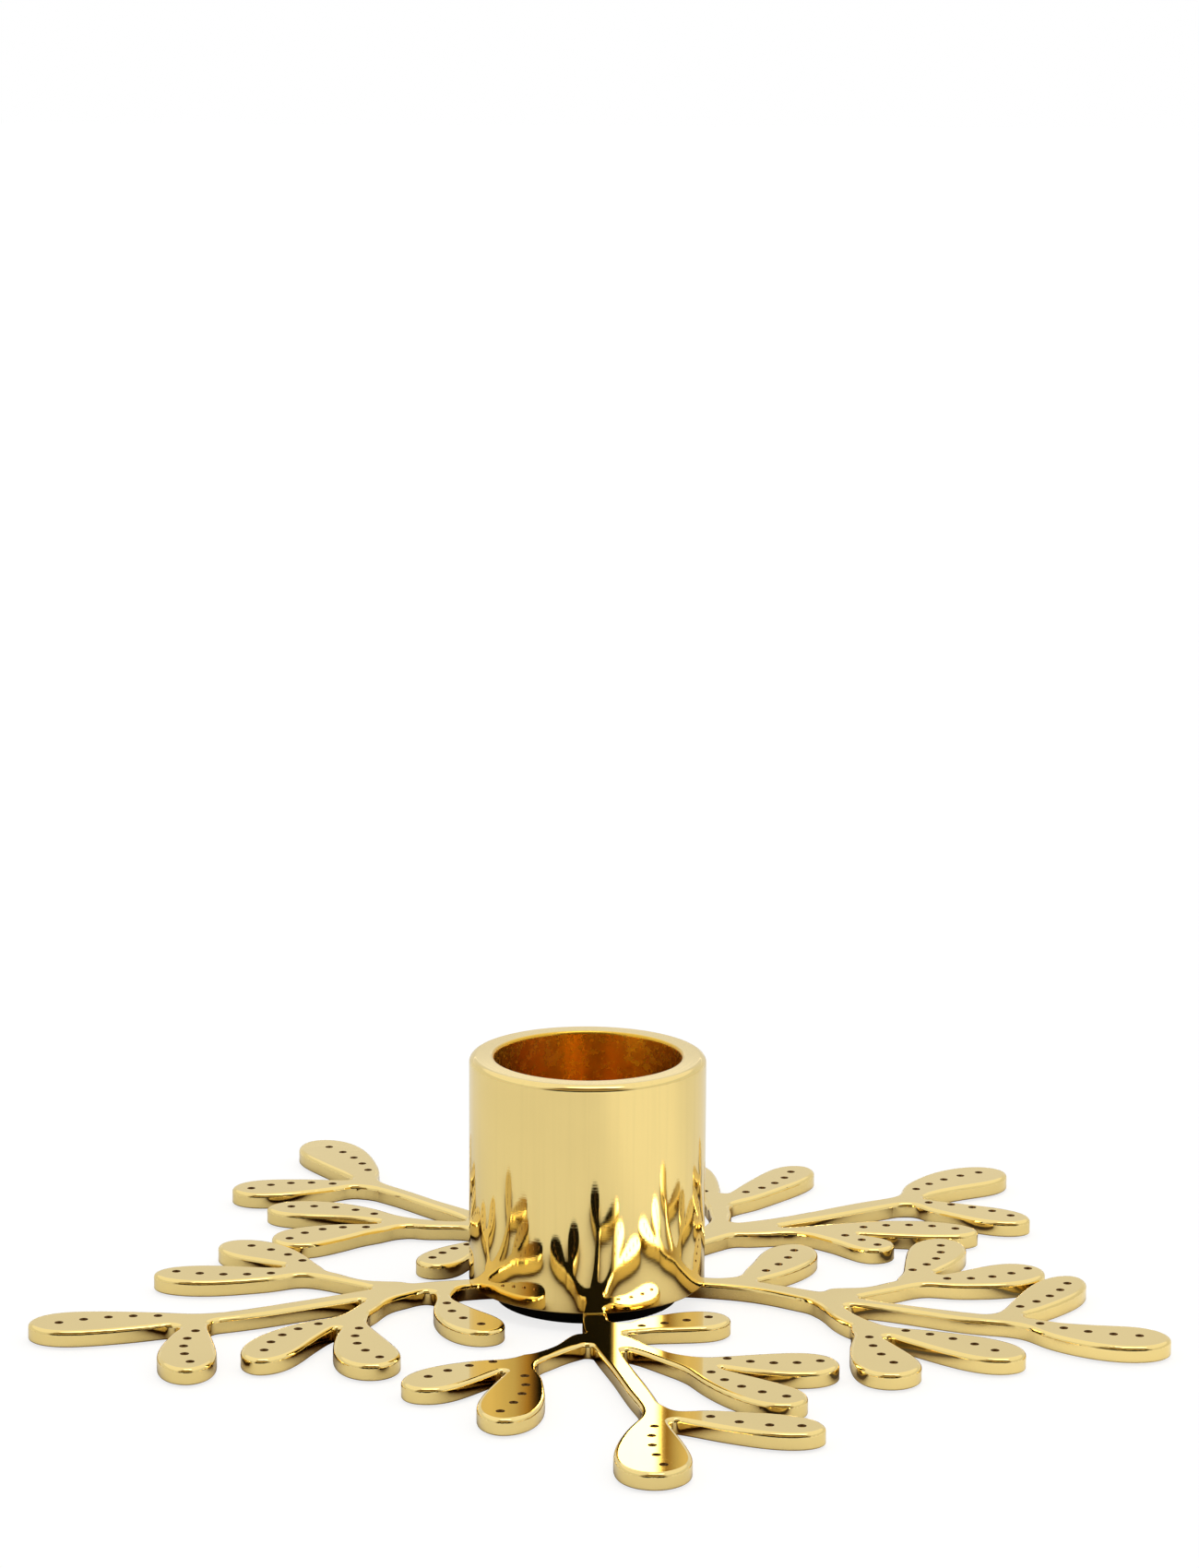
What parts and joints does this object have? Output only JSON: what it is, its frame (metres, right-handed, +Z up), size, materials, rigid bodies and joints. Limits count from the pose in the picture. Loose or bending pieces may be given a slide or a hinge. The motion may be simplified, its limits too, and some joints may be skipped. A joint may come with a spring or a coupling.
{
  "type": "candle holder",
  "caption": "Low candle holder with a round cup for one taper candle on a flat openwork plate of spreading leafy twigs, with a rubber pad underneath.",
  "frame": {"origin": "on the cup's axis at table level, in the middle of the pad's underside", "axes": "+Z up along the candle's axis, -Y towards the side pictured, +X to the right in the picture"},
  "size_m": [0.1348, 0.1276, 0.0304],
  "materials": {
    "plate_brass": "polished",
    "cup_brass": "polished",
    "pad_rubber": "matte",
    "screw_steel": "zinc plated",
    "washer_steel": "oiled spring steel"
  },
  "bodies": {
    "root": {"leaf_plate": "plate_brass", "candle_cup": "cup_brass", "base_pad": "pad_rubber", "fixing_screw": "screw_steel", "spring_washer": "washer_steel"}
  },
  "joints": []
}
